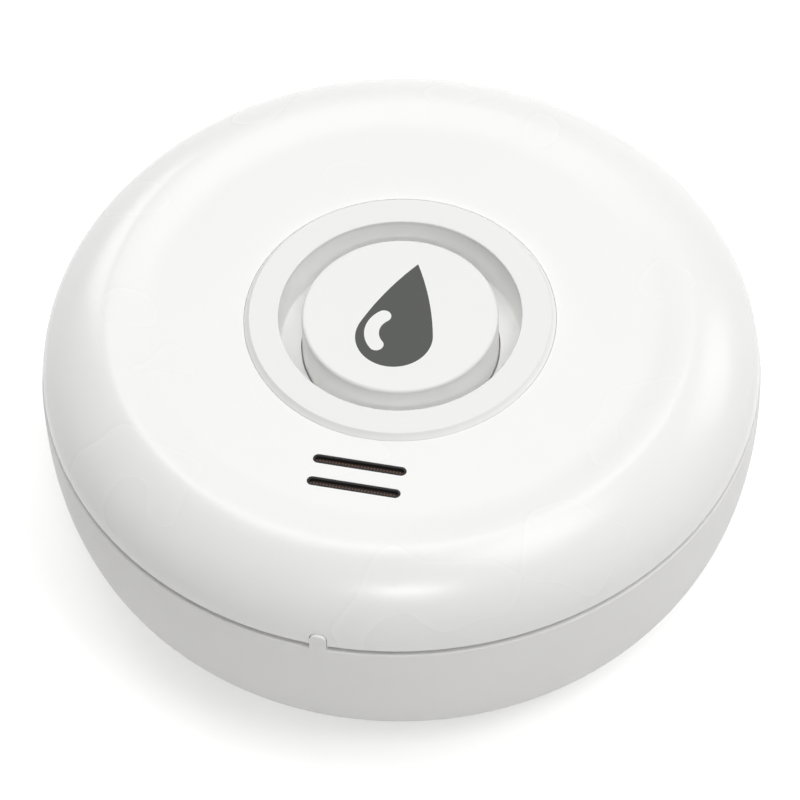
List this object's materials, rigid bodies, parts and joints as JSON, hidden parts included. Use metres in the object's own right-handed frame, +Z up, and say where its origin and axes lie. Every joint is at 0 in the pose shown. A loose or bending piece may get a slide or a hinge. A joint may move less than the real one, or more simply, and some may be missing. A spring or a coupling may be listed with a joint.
{
  "type": "water leak sensor",
  "caption": "Round white puck-shaped water leak sensor with a central push button in a ringed well, sound slots, a seam with a small tab, metal floor probes and a battery door.",
  "frame": {"origin": "centre of the round housing, on the surface that the feet stand on", "axes": "+Z up through the button; -Y is the front, with the sound slots and the tab; X to the right"},
  "size_m": [0.0904, 0.0905, 0.0341],
  "materials": {
    "cover_white": "satin-gloss injection-moulded ABS",
    "bezel_white": "fine matte ABS",
    "button_white": "satin ABS",
    "base_white": "matte ABS",
    "symbol_grey": "matte dark grey two-shot plastic",
    "seal_dark": "dark grey silicone",
    "liner_black": "black silicone",
    "mesh_bronze": "fine brownish acoustic mesh",
    "membrane_clear": "translucent silicone",
    "foot_rubber": "grey silicone rubber",
    "black_plastic": "black moulded plastic",
    "plunger_white": "nylon",
    "board_green": "glass-fibre board with green solder mask",
    "module_blue": "glass-fibre board with blue solder mask",
    "tin_can": "tin-plated steel",
    "capacitor_can": "aluminium can",
    "led_lens": "clear epoxy over phosphor",
    "disc_brass": "rolled brass",
    "wafer_white": "fired ceramic with silvered face",
    "nickel": "nickel-plated metal",
    "screw_steel": "zinc-plated steel",
    "cell_sleeve": "plain printed sleeve over a steel can"
  },
  "bodies": {
    "housing": {"top_cover": "cover_white", "base_shell": "base_white", "cover_seal": "seal_dark", "button_bezel": "bezel_white", "button_membrane": "membrane_clear", "slot_liner": "liner_black", "sounder_mesh": "mesh_bronze", "sounder_housing": "black_plastic", "sounder_disc": "disc_brass", "sounder_ceramic": "wafer_white", "sounder_pins": "nickel", "main_board": "board_green", "switch_body": "black_plastic", "radio_module": "module_blue", "radio_shield": "tin_can", "control_chip": "black_plastic", "board_capacitor": "capacitor_can", "status_leds": "led_lens", "probe_posts": "nickel", "probe_seals": "seal_dark", "probe_screws": "screw_steel", "battery_cells": "cell_sleeve", "contact_springs": "nickel", "contact_plates": "nickel", "case_screws": "screw_steel", "rubber_feet": "foot_rubber"},
    "button": {"button_cap": "button_white", "drop_symbol": "symbol_grey"},
    "plunger": {"switch_plunger": "plunger_white"},
    "door": {"battery_door": "base_white", "door_seal": "seal_dark", "door_screws": "screw_steel"}
  },
  "joints": [
    {"name": "button_press", "type": "slide", "parent": "housing", "child": "button", "axis": [0, 0, -1], "range_m": [0, 0.0008], "stiffness_N_per_m": 900, "springref_m": -0.0012, "deforming": ["button_membrane"]},
    {"name": "switch_press", "type": "slide", "parent": "housing", "child": "plunger", "axis": [0, 0, -1], "range_m": [0, 0.001]},
    {"name": "battery_door_off", "type": "slide", "parent": "housing", "child": "door", "axis": [0, 0, -1], "range_m": [0, 0.03]}
  ],
  "couplings": [
    {"joint": "switch_press", "follows": "button_press", "ratio": 1}
  ]
}
